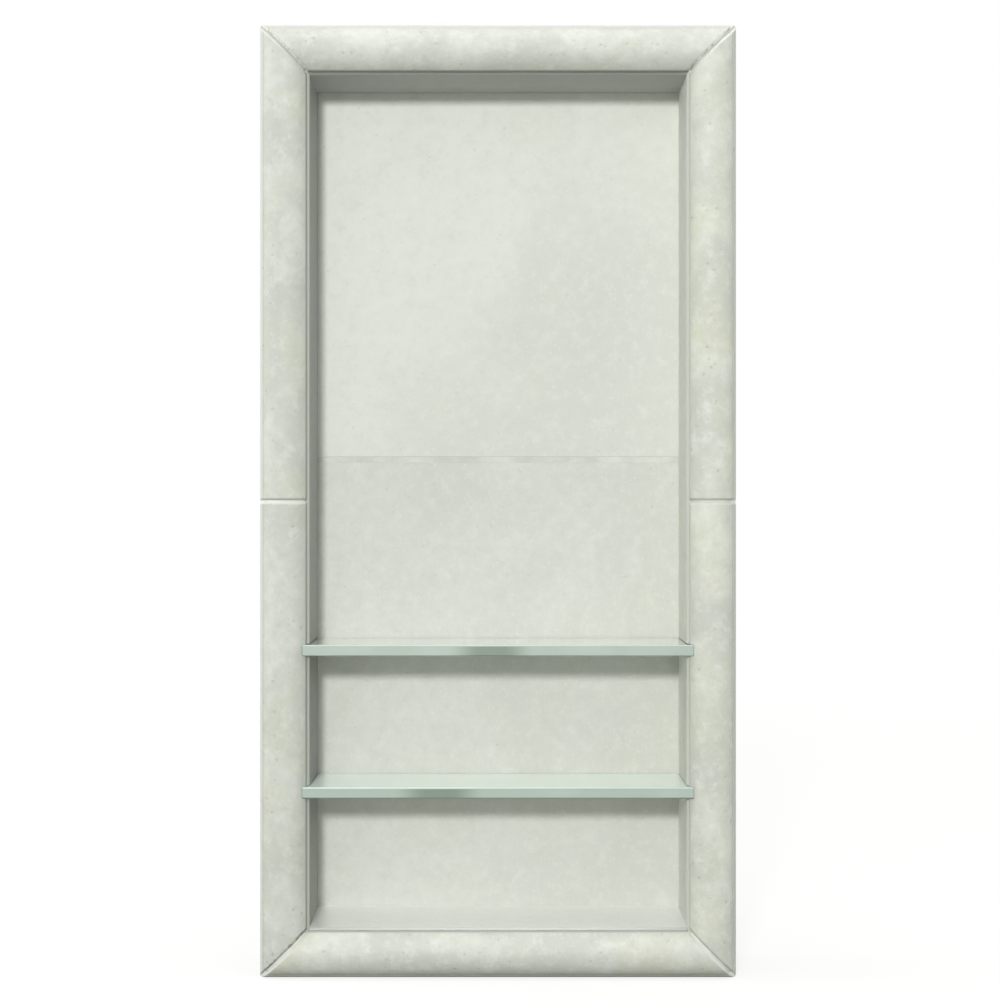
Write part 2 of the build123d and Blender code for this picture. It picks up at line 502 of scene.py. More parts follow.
@dataclass(frozen=True)
class FloatGlass:
    """Float glass: clear polished faces over a green body with a painted glow near the front, and pale green
    ground edges.
    """

    face_name: str = "float_glass_face"
    edge_name: str = "float_glass_ground_edge"
    refraction: float = 1.52
    face: str = "#FAFEF9"
    face_clearness: float = 0.6
    haze: tuple[float, float] = (0.04, 0.1)
    lime: str = "#E8F6EB"
    lime_roughness: float = 0.3
    # Painted glow: the green of the edge, seen through the top near the front
    glow: str = "#CBE0D1"
    glow_share: float = 0.8
    glow_reach: float = 34 * MM
    edge: str = "#BBCBBF"
    edge_clearness: float = 0.12
    edge_roughness: float = 0.3
    bright: str = "#C3D2C7"
    # Painted highlight along the top arris
    arris: str = "#DDE9E0"
    arris_height: float = 1.0 * MM
    arris_core: float = 0.6
    # Painted shade along the bottom arris of the edge
    drip: str = "#66736A"
    deep: str = "#8B9B8E"
    deep_top: tuple[float, float] = (0.9 * MM, 1.8 * MM)
    deep_core: float = 0.25
    body: str = "#9FC7AE"
    body_density: float = 6.0
    smear: float = 40 * MM

    def faces(self, shelf: Shelf) -> Material:
        """Makes the polished faces of a sheet, with a lime sheen and a painted glow near the front.

        Args:
            shelf: The sheet.

        Returns:
            The material.
        """
        material, tree = new_material(f"{self.face_name}_{shelf.node}")
        add = partial(add_node, tree)
        place = add(COORDINATES).outputs["Object"]
        smears = add(NOISE, {"Vector": place, "Scale": pattern_scale(self.smear), "Detail": 3.0})
        low, high = self.haze
        haze = add(
            MAP_RANGE, {"Value": smears, "From Min": 0.4, "From Max": 0.8, "To Min": low, "To Max": high}
        )
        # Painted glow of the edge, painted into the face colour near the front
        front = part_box(shelf.node)[0].y
        depth = add(SPLIT, {0: place}).outputs["Y"]
        reach = front + self.glow_reach
        painted_edge_glow = add(
            MAP_RANGE, {"Value": depth, "From Min": reach, "From Max": front, "To Max": self.glow_share}
        )
        tone = add(MIX, {0: painted_edge_glow, 6: colour(self.face), 7: colour(self.glow)}, data_type="RGBA")
        shader = add(
            SURFACE,
            {
                "Base Color": tone.outputs[2],
                "Roughness": haze,
                "IOR": self.refraction,
                "Transmission Weight": self.face_clearness,
                "Coat Weight": 1.0,
                "Sheen Weight": shelf.lime,
                "Sheen Roughness": self.lime_roughness,
                "Sheen Tint": colour(self.lime),
            },
        )
        self.finish(tree, shader)
        return material

    def edges(self, shelf: Shelf) -> Material:
        """Makes the ground edges and arrises of a sheet, with a painted dark reflection, a painted highlight
        on the top arris and painted shade along the bottom arris.

        Args:
            shelf: The sheet.

        Returns:
            The material.
        """
        material, tree = new_material(f"{self.edge_name}_{shelf.node}")
        add = partial(add_node, tree)
        place = add(COORDINATES).outputs["Object"]
        ways = add(SPLIT, {0: place}).outputs
        bottom, top = (corner.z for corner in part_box(shelf.node))
        below = add(MATH, {0: top, 1: ways["Z"]}, operation="SUBTRACT")
        above = add(MATH, {0: ways["Z"], 1: bottom}, operation="SUBTRACT")
        # Stretch of the front edge darkened as a painted dark reflection
        way = add(MATH, {0: ways["X"], 1: shelf.deep_middle}, operation="SUBTRACT")
        off = add(MATH, {0: way}, operation="ABSOLUTE")
        clear = add(
            MAP_RANGE,
            {"Value": off, "From Min": shelf.deep_half, "From Max": shelf.deep_half * self.deep_core},
            interpolation_type="SMOOTHSTEP",
        )
        ground = add(NOISE, {"Vector": place, "Scale": pattern_scale(self.smear), "Detail": 2.0})
        arris = (self.arris_height, self.arris_height * self.arris_core)
        bands = {
            # Keeps the painted dark reflection below the top arris
            "under": (below, *self.deep_top, 1.0),
            "uneven": (ground, 0.45, 0.7, 1.0),
            # Painted highlight along the top arris
            "upper": (below, *arris, 1.0),
            # Painted shade along the bottom arris
            "lower": (above, *arris, shelf.drips),
        }
        share = {
            layer: add(MAP_RANGE, {"Value": source, "From Min": low, "From Max": high, "To Max": most})
            for layer, (source, low, high, most) in bands.items()
        }
        dark_reflection_share = add(MATH, {0: clear, 1: share["under"]}, operation="MULTIPLY")
        tone: Value = colour(self.edge)
        for amount, code in (
            (share["uneven"], self.bright),
            (dark_reflection_share, self.deep),
            (share["upper"], self.arris),
            (share["lower"], self.drip),
        ):
            tone = add(MIX, {0: amount, 6: tone, 7: colour(code)}, data_type="RGBA").outputs[2]
        shader = add(
            SURFACE,
            {
                "Base Color": tone,
                "Roughness": self.edge_roughness,
                "IOR": self.refraction,
                "Transmission Weight": self.edge_clearness,
            },
        )
        self.finish(tree, shader)
        return material

    def finish(self, tree: Tree, shader: Node) -> None:
        """Joins a surface with the green body of the glass.

        Args:
            tree: Tree of the material.
            shader: Surface of the material.
        """
        tint = {"Color": colour(self.body), "Density": self.body_density}
        body = add_node(tree, "ShaderNodeVolumeAbsorption", tint)
        add_node(tree, OUTPUT, {"Surface": shader, "Volume": body})


TRIM_STONE = BullnoseStone(
    name="limestone_bullnose",
    pale="#DDE0D6",
    grey="#CBCEC6",
    warm="#D6D9C6",
    chalk="#E9EBE4",
    pit="#B4B7AE",
    cloud=60 * MM,
    stain=70 * MM,
    mottle=13 * MM,
    fleck=4.2 * MM,
    cloud_share=0.8,
    stain_share=0.6,
    mottle_share=0.7,
    fleck_share=0.35,
    pit_share=0.5,
    roughness=0.56,
    relief=0.8 * MM,
)
# The lengths get their own tones by side, lighter at the bottom and darker on the left and top: painted light
# and shade
TOP_TRIM = replace(
    TRIM_STONE, tone=0.965, film_share=0.25, chip_share=0.6, adhesive="#8F938A", rim="#D3D5CE"
)
BOTTOM_TRIM = replace(
    TRIM_STONE,
    warm="#D8DAC7",
    stain_share=0.7,
    tone=1.06,
    adhesive="#BEC1B7",
    rim="#B2B5AB",
    rim_width=1.7 * MM,
)
UPPER_LEFT_TRIM = replace(
    TRIM_STONE,
    tone=0.92,
    film_share=0.15,
    adhesive="#A4A79D",
    rim="#D8DAD3",
    mitre_bevel="#DCDED6",
    butt_bevel="#B4B7AD",
)
LOWER_LEFT_TRIM = replace(
    UPPER_LEFT_TRIM, mitre_bevel="#A6A99F", butt_bevel="#F4F5EF", chip_share=1.0, chip_width=3.6 * MM
)
UPPER_RIGHT_TRIM = replace(
    TRIM_STONE,
    name="limestone_warm_bullnose",
    pale="#DEE1D4",
    grey="#CBCEC4",
    warm="#D8DBC4",
    stain_share=0.7,
    adhesive="#CFD2C6",
    rim="#CACDC4",
    mitre_bevel="#F4F5EF",
    butt_bevel="#C6C9BF",
)
LOWER_RIGHT_TRIM = replace(
    UPPER_RIGHT_TRIM, stain_share=0.5, mitre_bevel="#BFC2B7", butt_bevel="#E6E8E0"
)
PANEL_STONE = PanelStone(
    name="limestone_panel",
    pale="#E1E3DB",
    grey="#D2D4CC",
    warm="#DCDED0",
    chalk="#EEF0E9",
    pit="#C2C4BC",
    cloud=120 * MM,
    stain=80 * MM,
    mottle=13 * MM,
    fleck=3.6 * MM,
    cloud_share=0.45,
    stain_share=0.4,
    mottle_share=0.42,
    fleck_share=0.4,
    pit_share=0.6,
    roughness=0.6,
    relief=0.3 * MM,
    tone=0.955,
    drift=(1.0, 0.0, 0.0),
)
# Lighter copy of the panel stone for the right return: painted light
RIGHT_LIT_STONE = replace(PANEL_STONE, name="limestone_lit_side", tone=1.17)
# Paler copy for the upper back panel: painted light that lifts the shade under the top of the niche; its
# drift greys it towards the right and bottom as painted shade
UPPER_STONE = replace(
    PANEL_STONE,
    name="limestone_pale_panel",
    pale="#EAECE4",
    grey="#DADCD4",
    warm="#E3E5D8",
    chalk="#F1F3EC",
    pit="#CCCEC6",
    cloud=190 * MM,
    cloud_share=0.75,
    tone=0.965,
    drift=(1.6, 0.0, -0.5),
)
# Darker, greyer copy of the panel stone for the left return, and the top return after it: painted shade, with
# painted shade on their arris
LEFT_SHADED_STONE = replace(
    PANEL_STONE,
    name="limestone_shaded_side",
    pale="#B0B4B0",
    grey="#A7ABA7",
    warm="#ADB0A9",
    chalk="#BABEBA",
    pit="#9A9E9A",
    arris="#C0C4BD",
    shine=0.1,
    tone=0.86,
)
TOP_SHADED_STONE = replace(
    LEFT_SHADED_STONE,
    name="limestone_shaded_top",
    pale="#BBBEBA",
    grey="#B2B5B1",
    warm="#B8BAB2",
    chalk="#C5C8C4",
    pit="#A5A8A4",
    arris="#9DA19B",
    tone=0.94,
)
# Paler copy for the sill with a higher tone: painted light on its top, and a dark arris that paints a shade
# line at its front
SILL_STONE = replace(
    PANEL_STONE,
    name="limestone_sill",
    pale="#F1F2EC",
    grey="#E8EAE3",
    warm="#EDEEE4",
    chalk="#F5F6F2",
    arris="#A6A8A1",
    roughness=0.2,
    relief=0.05 * MM,
    shine=0.5,
    seal=1.0,
    lime=0.6,
    tone=1.05,
)
SHELVES = (
    Shelf("lower_shelf", deep_middle=-50 * MM, deep_half=40 * MM, lime=0.9, drips=0.9),
    Shelf("upper_shelf", deep_middle=-5 * MM, deep_half=38 * MM, lime=0.13, drips=0.4),
)
PALE_GROUT = CementGrout("sanded_grout_frame", paste="#EEF0E9", sand="#DEE0D8")
# Darker copies of the pale grout for the top mitres and the right joint: painted shade
TOP_SHADED_GROUT = CementGrout("sanded_grout_upper_mitres", paste="#C6C9BF", sand="#B4B7AD")
RIGHT_SHADED_GROUT = CementGrout("sanded_grout_right_joint", paste="#DFE1D8", sand="#CFD1C8")
SEAM_GROUT = CementGrout("sanded_grout_seam", paste="#E2E4DC", sand="#D2D4CC")


class EndCut(Enum):
    """How a length of trim is cut at one end."""

    SQUARE = 0.0
    MITRED = 1.0


@dataclass(frozen=True)
class TrimLength:
    """One length of trim: its place in the frame and the cuts at its ends."""

    node: str
    turn: float
    low: EndCut
    high: EndCut
    stone: Limestone
    seed: int


@dataclass
class BullnoseFrame:
    """Six lengths of bullnose trim, mitred at the corners and butted halfway up the sides."""

    length: float = 406 * MM
    width: float = 40 * MM
    edge: float = 6 * MM
    crown: float = 11 * MM
    lip: float = 3 * MM
    lip_fall: float = 3.8 * MM
    lip_steps: int = 4
    lip_share: float = 0.15
    rebate_width: float = 10.5 * MM
    rebate_depth: float = 3 * MM
    joint_gap: float = 1.3 * MM
    joint_ease: float = 2.2 * MM
    ease_bend: float = 1.3
    notch_depth: float = 3.6 * MM
    notch_play: float = 0.2 * MM
    end_zone: float = 4 * MM
    rows: int = 350
    end_rows: int = 12
    crown_steps: int = 36
    wave_height: float = 0.3 * MM
    wave_size: float = 45 * MM
    chip_depth: float = 0.7 * MM
    chip_size: float = 6 * MM
    crease: float = math.radians(20)

    def lengths(self) -> list[TrimLength]:
        """Lists the six lengths, with the turn about y that brings each from the top into its place.

        Returns:
            The lengths.
        """
        square, mitred = EndCut.SQUARE, EndCut.MITRED
        quarter = math.pi / 2
        return [
            TrimLength("top_trim", 0.0, mitred, mitred, TOP_TRIM, 1),
            TrimLength("bottom_trim", math.pi, mitred, mitred, BOTTOM_TRIM, 2),
            TrimLength("left_trim_upper", -quarter, square, mitred, UPPER_LEFT_TRIM, 3),
            TrimLength("left_trim_lower", -quarter, mitred, square, LOWER_LEFT_TRIM, 4),
            TrimLength("right_trim_upper", quarter, mitred, square, UPPER_RIGHT_TRIM, 5),
            TrimLength("right_trim_lower", quarter, square, mitred, LOWER_RIGHT_TRIM, 6),
        ]

    def outline(self, set_back: float = 0.0) -> list[tuple[Vector, Vector]]:
        """Draws the section of the trim as a closed outline.

        The first coordinate runs from the inner edge outwards and the second from the wall to the viewer.

        Args:
            set_back: How far the outline lies inside the section, as for the grout between two lengths.

        Returns:
            Place of each point and, on the show face, its outward normal, which shrinks towards the outer
            edge.
        """
        chord = self.width - self.lip
        radius = (chord**2 / 4 + self.crown**2) / (2 * self.crown)
        half_turn = math.asin(chord / 2 / radius)
        arc_middle = Vector((chord / 2, self.edge + self.crown - radius, 0))
        points: list[tuple[Vector, Vector]] = []
        for step in range(self.crown_steps + 1):
            turn = half_turn * (1 - 2 * step / self.crown_steps)
            normal = Vector((math.sin(turn), math.cos(turn), 0))
            points.append((arc_middle + radius * normal, normal))
        foot = [
            (set_back, self.rebate_depth),
            (self.rebate_width, self.rebate_depth),
            (self.rebate_width, 0),
            (self.width - set_back * self.lip_share, 0),
        ]
        points += [(Vector((*place, 0)), Vector()) for place in foot]
        lip_top = Vector((chord, self.edge, 0))
        lip_foot = Vector((self.width, self.edge - self.lip_fall, 0))
        lip_normal = Vector((self.lip_fall, self.lip, 0)).normalized()
        for step in range(self.lip_steps):
            way = step / self.lip_steps
            share = self.lip_share + (1 - self.lip_share) * way
            points.append((lip_foot.lerp(lip_top, way), lip_normal * share))
        return [(place - set_back * normal, normal) for place, normal in points]

    def section(self, name: str) -> Object:
        """Makes the outline that a length is swept from, with its places and normals as attributes.

        Args:
            name: Name of the piece that the section becomes.

        Returns:
            An object that holds the outline.
        """
        places, normals = zip(*self.outline())
        mesh = bpy.data.meshes.new(name)
        count = len(places)
        mesh.from_pydata(places, [(i, (i + 1) % count) for i in range(count)], [])
        for label, values in (("section", places), ("show_normal", normals)):
            attribute = mesh.attributes.new(label, "FLOAT_VECTOR", "POINT")
            attribute.data.foreach_set("vector", [part for value in values for part in value])
        return bpy.data.objects.new(name, mesh)

    def tree(self, inputs: dict[str, Value]) -> Tree:
        """Builds the tree that sweeps, mitres, eases, weathers and notches one length along x.

        Args:
            inputs: Names of the tree's inputs, with the values of one length, which give their kinds.

        Returns:
            The tree, which takes the section and gives the length with its inner edge on z = 0.
        """
        tree = bpy.data.node_groups.new("bullnose_length", "GeometryNodeTree")
        add = partial(add_node, tree)
        geometry = "NodeSocketGeometry"
        tree.interface.new_socket(name="Section", in_out="INPUT", socket_type=geometry)
        for name, value in inputs.items():
            kind = f"NodeSocket{type(value).__name__.capitalize()}"
            tree.interface.new_socket(name=name, in_out="INPUT", socket_type=kind)
        tree.interface.new_socket(name="Length of Trim", in_out="OUTPUT", socket_type=geometry)
        given = add("NodeGroupInput").outputs

        # Sweep of the section, in rows that crowd towards both ends
        profile = add("GeometryNodeMeshToCurve", {"Mesh": given["Section"]})
        line = add("GeometryNodeCurvePrimitiveLine", {"Start": (0, 0, 0), "End": (1, 0, 0)})
        path = add("GeometryNodeResampleCurve", {"Curve": line, "Count": given["Rows"]})
        factor = add("GeometryNodeSplineParameter").outputs["Factor"]
        marked = add(
            "GeometryNodeStoreNamedAttribute",
            {"Geometry": path, "Name": "row", "Value": factor},
            data_type="FLOAT",
        )
        swept = add(
            "GeometryNodeCurveToMesh", {"Curve": marked, "Profile Curve": profile, "Fill Caps": True}
        )
        row, place, normal = (
            add("GeometryNodeInputNamedAttribute", {"Name": name}, data_type=kind)
            for name, kind in (
                ("row", "FLOAT"),
                ("section", "FLOAT_VECTOR"),
                ("show_normal", "FLOAT_VECTOR"),
            )
        )
        across = add(SPLIT, {0: place}).outputs
        lean = add(SPLIT, {0: normal}).outputs

        # Both cuts, square or along the mitre, with half of the joint taken off
        last_row = add(MATH, {0: given["Rows"], 1: 1.0}, operation="SUBTRACT")
        zone = add(MATH, {0: given["End Rows"], 1: last_row}, operation="DIVIDE")
        far_zone = add(MATH, {0: 1.0, 1: zone}, operation="SUBTRACT")
        half_gap = add(MATH, {0: given["Joint Gap"], 1: 0.5}, operation="MULTIPLY")
        half_length = add(MATH, {0: given["Length"], 1: 0.5}, operation="MULTIPLY")
        from_outside = add(MATH, {0: given["Width"], 1: across["X"]}, operation="SUBTRACT")
        near, cut = {}, {}
        for end, row_start, row_stop in (("Low", 0.0, zone), ("High", 1.0, far_zone)):
            mitre = given[f"{end} Mitre"]
            near[end] = add(MAP_RANGE, {"Value": row, "From Min": row_start, "From Max": row_stop})
            inside = add(
                MATH, {0: near[end], 1: given["End Zone"], 2: half_gap}, operation="MULTIPLY_ADD"
            )
            slant = add(MATH, {0: mitre, 1: SLANT - 1, 2: 1.0}, operation="MULTIPLY_ADD")
            along = add(MATH, {0: inside, 1: slant}, operation="MULTIPLY")
            cut[end] = add(MATH, {0: mitre, 1: from_outside, 2: along}, operation="MULTIPLY_ADD")
        low = add(MATH, {0: cut["Low"], 1: half_length}, operation="SUBTRACT")
        high = add(MATH, {0: half_length, 1: cut["High"]}, operation="SUBTRACT")
        middle = add(MAP_RANGE, {"Value": row, "From Min": zone, "From Max": far_zone})
        run = add(MIX, {0: middle, 2: low, 3: high})
        depth = add(MATH, {0: across["Y"], 1: -1.0}, operation="MULTIPLY")
        plain = add(JOIN, {"X": run, "Y": depth, "Z": across["X"]})

        # Bevel with a soft upper edge where the show face meets a cut
        from_end = add(MATH, {0: near["Low"], 1: near["High"]}, operation="MINIMUM")
        inside = add(MATH, {0: from_end, 1: given["End Zone"]}, operation="MULTIPLY")
        share = add(
            MAP_RANGE, {"Value": inside, "From Max": given["Joint Ease"], "To Min": 1.0, "To Max": 0.0}
        )
        sunk = add(MATH, {0: share, 1: given["Ease Bend"]}, operation="POWER")
        ease = add(MATH, {0: sunk, 1: given["Joint Ease"]}, operation="MULTIPLY")

        # Gentle unevenness of the hand-honed face, and small chips at the cuts
        rates = [
            add(MATH, {0: 1.0, 1: given[size]}, operation="DIVIDE") for size in ("Wave Size", "Chip Size")
        ]
        waves, chips = (
            add(
                NOISE,
                {"Vector": plain, "W": given["Seed"], "Scale": rate, "Detail": 2.0},
                noise_dimensions="4D",
            )
            for rate in rates
        )
        wave = add(MAP_RANGE, {"Value": waves, "To Min": -0.5, "To Max": 0.5})
        wave_height = add(MATH, {0: wave, 1: given["Wave Height"]}, operation="MULTIPLY")
        chip_share = add(MAP_RANGE, {"Value": chips, "From Min": 0.52, "From Max": 0.74})
        at_end = add(MATH, {0: 1.0, 1: from_end}, operation="SUBTRACT")
        chipped = add(MATH, {0: chip_share, 1: at_end}, operation="MULTIPLY")
        loss = add(MATH, {0: chipped, 1: given["Chip Depth"], 2: ease}, operation="MULTIPLY_ADD")
        lift = add(MATH, {0: wave_height, 1: loss}, operation="SUBTRACT")
        low_slope = add(MATH, {0: given["Low Mitre"], 1: -1.0}, operation="MULTIPLY")
        slope = add(MIX, {0: middle, 2: low_slope, 3: given["High Mitre"]})
        along = add(MATH, {0: slope, 1: lean["X"]}, operation="MULTIPLY")
        forward = add(MATH, {0: lean["Y"], 1: -1.0}, operation="MULTIPLY")
        direction = add(JOIN, {"X": along, "Y": forward, "Z": lean["X"]})
        offset = add(VECTOR_MATH, {0: direction, "Scale": lift}, operation="SCALE")
        shaped = add("GeometryNodeSetPosition", {"Geometry": swept, "Position": plain, "Offset": offset})

        # Notches in the inner edge for the ends of the shelves
        reach = add(MATH, {0: given["Notch Depth"], 1: 2.0}, operation="MULTIPLY")
        block = add(JOIN, {"X": given["Notch Height"], "Y": given["Width"], "Z": reach})
        cutter = add("GeometryNodeMeshCube", {"Size": block})
        first = add(JOIN, {"X": given["First Notch"]})
        pitch = add(JOIN, {"X": given["Notch Pitch"]})
        seats = add(
            "GeometryNodeMeshLine", {"Count": 2, "Start Location": first, "Offset": pitch}, mode="OFFSET"
        )
        cutters = add("GeometryNodeInstanceOnPoints", {"Points": seats, "Instance": cutter})
        blocks = add("GeometryNodeRealizeInstances", {"Geometry": cutters})
        notched = add(
            "GeometryNodeMeshBoolean",
            {"Mesh 1": shaped, "Mesh 2": blocks, "Self Intersection": True, "Hole Tolerant": True},
            operation="DIFFERENCE",
            solver="EXACT",
        )
        chosen = add(
            "GeometryNodeSwitch",
            {"Switch": given["Notched"], "False": shaped, "True": notched},
            input_type="GEOMETRY",
        )

        # Smooth crown with crisp arrises
        smooth = add("GeometryNodeSetShadeSmooth", {"Geometry": chosen, "Shade Smooth": True})
        angle = add("GeometryNodeInputMeshEdgeAngle").outputs["Unsigned Angle"]
        sharp = add(
            "FunctionNodeCompare",
            {0: angle, 1: given["Crease"]},
            data_type="FLOAT",
            operation="GREATER_THAN",
        )
        creased = add(
            "GeometryNodeSetShadeSmooth",
            {"Geometry": smooth, "Selection": sharp, "Shade Smooth": False},
            domain="EDGE",
        )
        realised = add("GeometryNodeRealizeInstances", {"Geometry": creased})
        dressed = add("GeometryNodeSetMaterial", {"Geometry": realised, "Material": given["Material"]})
        add("NodeGroupOutput", {0: dressed})
        return tree

    def notches(self, piece: TrimLength) -> tuple[bool, float, float]:
        """Finds where the shelves enter a length of trim.

        Args:
            piece: The length.

        Returns:
            Whether it has notches, the middle of the first along the length, and the way to the second.
        """
        if piece.node not in ("left_trim_lower", "right_trim_lower"):
            return False, 0.0, 0.0
        boxes = [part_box(shelf.node) for shelf in SHELVES]
        middles = [(low.z + high.z + self.notch_play) / 2 for low, high in boxes]
        rise = -math.copysign(1.0, piece.turn)
        centre = -self.length / 2
        return True, rise * (middles[0] - centre), rise * (middles[1] - middles[0])

    def inputs(self, piece: TrimLength) -> dict[str, Value]:
        """Gives the values of the tree's inputs for one length.

        Args:
            piece: The length.

        Returns:
            Value of each input, by its name.
        """
        notched, first, pitch = self.notches(piece)
        low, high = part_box("upper_shelf")
        return {
            "Length": self.length,
            "Width": self.width,
            "Joint Gap": self.joint_gap,
            "Joint Ease": self.joint_ease,
            "Ease Bend": self.ease_bend,
            "Low Mitre": piece.low.value,
            "High Mitre": piece.high.value,
            "End Zone": self.end_zone,
            "Rows": self.rows,
            "End Rows": self.end_rows,
            "Wave Height": self.wave_height,
            "Wave Size": self.wave_size,
            "Chip Depth": self.chip_depth,
            "Chip Size": self.chip_size,
            "Notched": notched,
            "Notch Depth": self.notch_depth,
            "Notch Height": high.z - low.z + self.notch_play,
            "First Notch": first,
            "Notch Pitch": pitch,
            "Crease": self.crease,
            "Seed": piece.seed,
            "Material": piece.stone.material(piece.node, piece.seed),
        }

    def place(self, piece: TrimLength) -> Matrix:
        """Gives the matrix that brings a length from its own axis into the frame.

        Args:
            piece: The length.

        Returns:
            Turn about y and move to the inner edge of the frame.
        """
        half_x = self.length / 2 - self.width
        half_z = self.length - self.width
        centre = {
            "top_trim": (0, 0, half_z),
            "bottom_trim": (0, 0, -half_z),
            "left_trim_upper": (-half_x, 0, self.length / 2),
            "left_trim_lower": (-half_x, 0, -self.length / 2),
            "right_trim_upper": (half_x, 0, self.length / 2),
            "right_trim_lower": (half_x, 0, -self.length / 2),
        }[piece.node]
        return Matrix.Translation(centre) @ Matrix.Rotation(piece.turn, 4, "Y")

    def build(self) -> list[Object]:
        """Builds and dresses the six lengths.

        Returns:
            The lengths, each in its place.
        """
        lengths = [(piece, self.inputs(piece)) for piece in self.lengths()]
        tree = self.tree(lengths[0][1])
        keys = {item.name: item.identifier for item in tree.interface.items_tree if item.in_out == "INPUT"}
        pieces = []
        for piece, values in lengths:
            made = self.section(f"bullnose_{piece.node}")
            bpy.context.scene.collection.objects.link(made)
            modifier = made.modifiers.new("length", "NODES")
            modifier.node_group = tree
            for name, value in values.items():
                modifier[keys[name]] = value
            graph = bpy.context.evaluated_depsgraph_get()
            mesh = bpy.data.meshes.new_from_object(made.evaluated_get(graph))
            made.modifiers.clear()
            made.data = mesh
            mesh.transform(self.place(piece))
            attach(made, BODY)
            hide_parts(piece.node)
            pieces.append(made)
        return pieces


@dataclass(frozen=True)
class Joint:
    """One joint of the frame.

    It has its inner end on the wall, the way outwards for each metre of width, its grout, and how far that
    grout stays inside the outer edge.
    """

    node: str
    inner: Vector
    run: Vector
    grout: CementGrout
    draw_in: float


@dataclass
class JointGrout:
    """Grout between the lengths of trim, pressed in to the foot of their bevels and tooled hollow."""

    trim: BullnoseFrame
    recess: float = 1.9 * MM
    mitre_draw_in: float = 0.9 * MM
    butt_draw_in: float = 0.3 * MM
    bond: float = 0.3 * MM
    hollow: float = 0.25 * MM
    grain: float = 0.1 * MM
    grain_size: float = 1.1 * MM
    across_steps: int = 6

    def joints(self) -> list[Joint]:
        """Lists the four mitres and the joints halfway up the sides.

        Returns:
            The joints.
        """
        x = self.trim.length / 2 - self.trim.width
        z = self.trim.length - self.trim.width
        mitre, butt = self.mitre_draw_in, self.butt_draw_in
        return [
            Joint("mitre_grout_top_left", Vector((-x, 0, z)), Vector((-1, 0, 1)), TOP_SHADED_GROUT, mitre),
            Joint("mitre_grout_top_right", Vector((x, 0, z)), Vector((1, 0, 1)), TOP_SHADED_GROUT, mitre),
            Joint("mitre_grout_bottom_left", Vector((-x, 0, -z)), Vector((-1, 0, -1)), PALE_GROUT, mitre),
            Joint("mitre_grout_bottom_right", Vector((x, 0, -z)), Vector((1, 0, -1)), PALE_GROUT, mitre),
            Joint("joint_grout_left", Vector((-x, 0, 0)), Vector((-1, 0, 0)), PALE_GROUT, butt),
            Joint("joint_grout_right", Vector((x, 0, 0)), Vector((1, 0, 0)), RIGHT_SHADED_GROUT, butt),
        ]

    def build(self) -> list[Object]:
        """Builds and dresses the grout of the six joints.

        Returns:
            The strips of grout in their places.
        """
        finishes = {grout: grout.material() for grout in (PALE_GROUT, TOP_SHADED_GROUT, RIGHT_SHADED_GROUT)}
        return [self.strip(joint, finishes[joint.grout]) for joint in self.joints()]

    def strip(self, joint: Joint, finish: Material) -> Object:
        """Builds the grout of one joint.

        Args:
            joint: The joint.
            finish: Material of its grout.

        Returns:
            The strip.
        """
        half = self.trim.joint_gap / 2 + self.bond
        forward = Vector((0, -1, 0))
        outward = joint.run.normalized()
        side = outward.cross(forward)
        stretch = (self.trim.width - joint.draw_in) / (self.trim.width - self.recess * self.trim.lip_share)
        shape = bmesh.new()
        rings = []
        for step in range(self.across_steps + 1):
            share = 2 * step / self.across_steps - 1
            ring = []
            for place, normal in self.trim.outline(self.recess):
                reach = stretch * place.x
                point = joint.inner + reach * joint.run + place.y * forward + share * half * side
                dip = self.hollow * (1 - share**2) + self.grain * noise.noise(point / self.grain_size)
                lean = normal.x * outward + normal.y * forward
                ring.append(shape.verts.new(point - dip * lean))
            rings.append(ring)
        for low, high in zip(rings, rings[1:]):
            for place, corner in enumerate(low):
                after = (place + 1) % len(low)
                shape.faces.new((corner, low[after], high[after], high[place]))
        caps = [shape.faces.new(rings[0]), shape.faces.new(rings[-1])]
        bmesh.ops.triangulate(shape, faces=caps)
        bmesh.ops.recalc_face_normals(shape, faces=shape.faces)
        mesh = bpy.data.meshes.new(f"strip_{joint.node}")
        shape.to_mesh(mesh)
        shape.free()
        mesh.materials.append(finish)
        made = bpy.data.objects.new(f"strip_{joint.node}", mesh)
        bpy.context.scene.collection.objects.link(made)
        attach(made, BODY)
        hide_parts(joint.node)
        return made


@dataclass
class StoneBox:
    """Stone panels of the niche and the grout of the seam in its back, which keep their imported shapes."""

    panels: tuple[tuple[str, Limestone], ...] = (
        ("back_panel_upper", UPPER_STONE),
        ("back_panel_lower", PANEL_STONE),
        ("left_return", LEFT_SHADED_STONE),
        ("right_return", RIGHT_LIT_STONE),
        ("top_return", TOP_SHADED_STONE),
        ("sill", SILL_STONE),
        ("back_seam_strip", PANEL_STONE),
    )
    first_seed: int = 11

    def dress(self) -> None:
        """Gives each panel its own part of the slab, and the seam its grout."""
        for number, (node, stone) in enumerate(self.panels):
            self.set_material(node, stone.material(node, self.first_seed + number))
        self.set_material("back_seam_grout", SEAM_GROUT.material())

    @staticmethod
    def set_material(node: str, material: Material) -> None:
        """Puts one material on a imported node.

        Args:
            node: Name of the node.
            material: The material.
        """
        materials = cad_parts[node].data.materials
        materials.clear()
        materials.append(material)


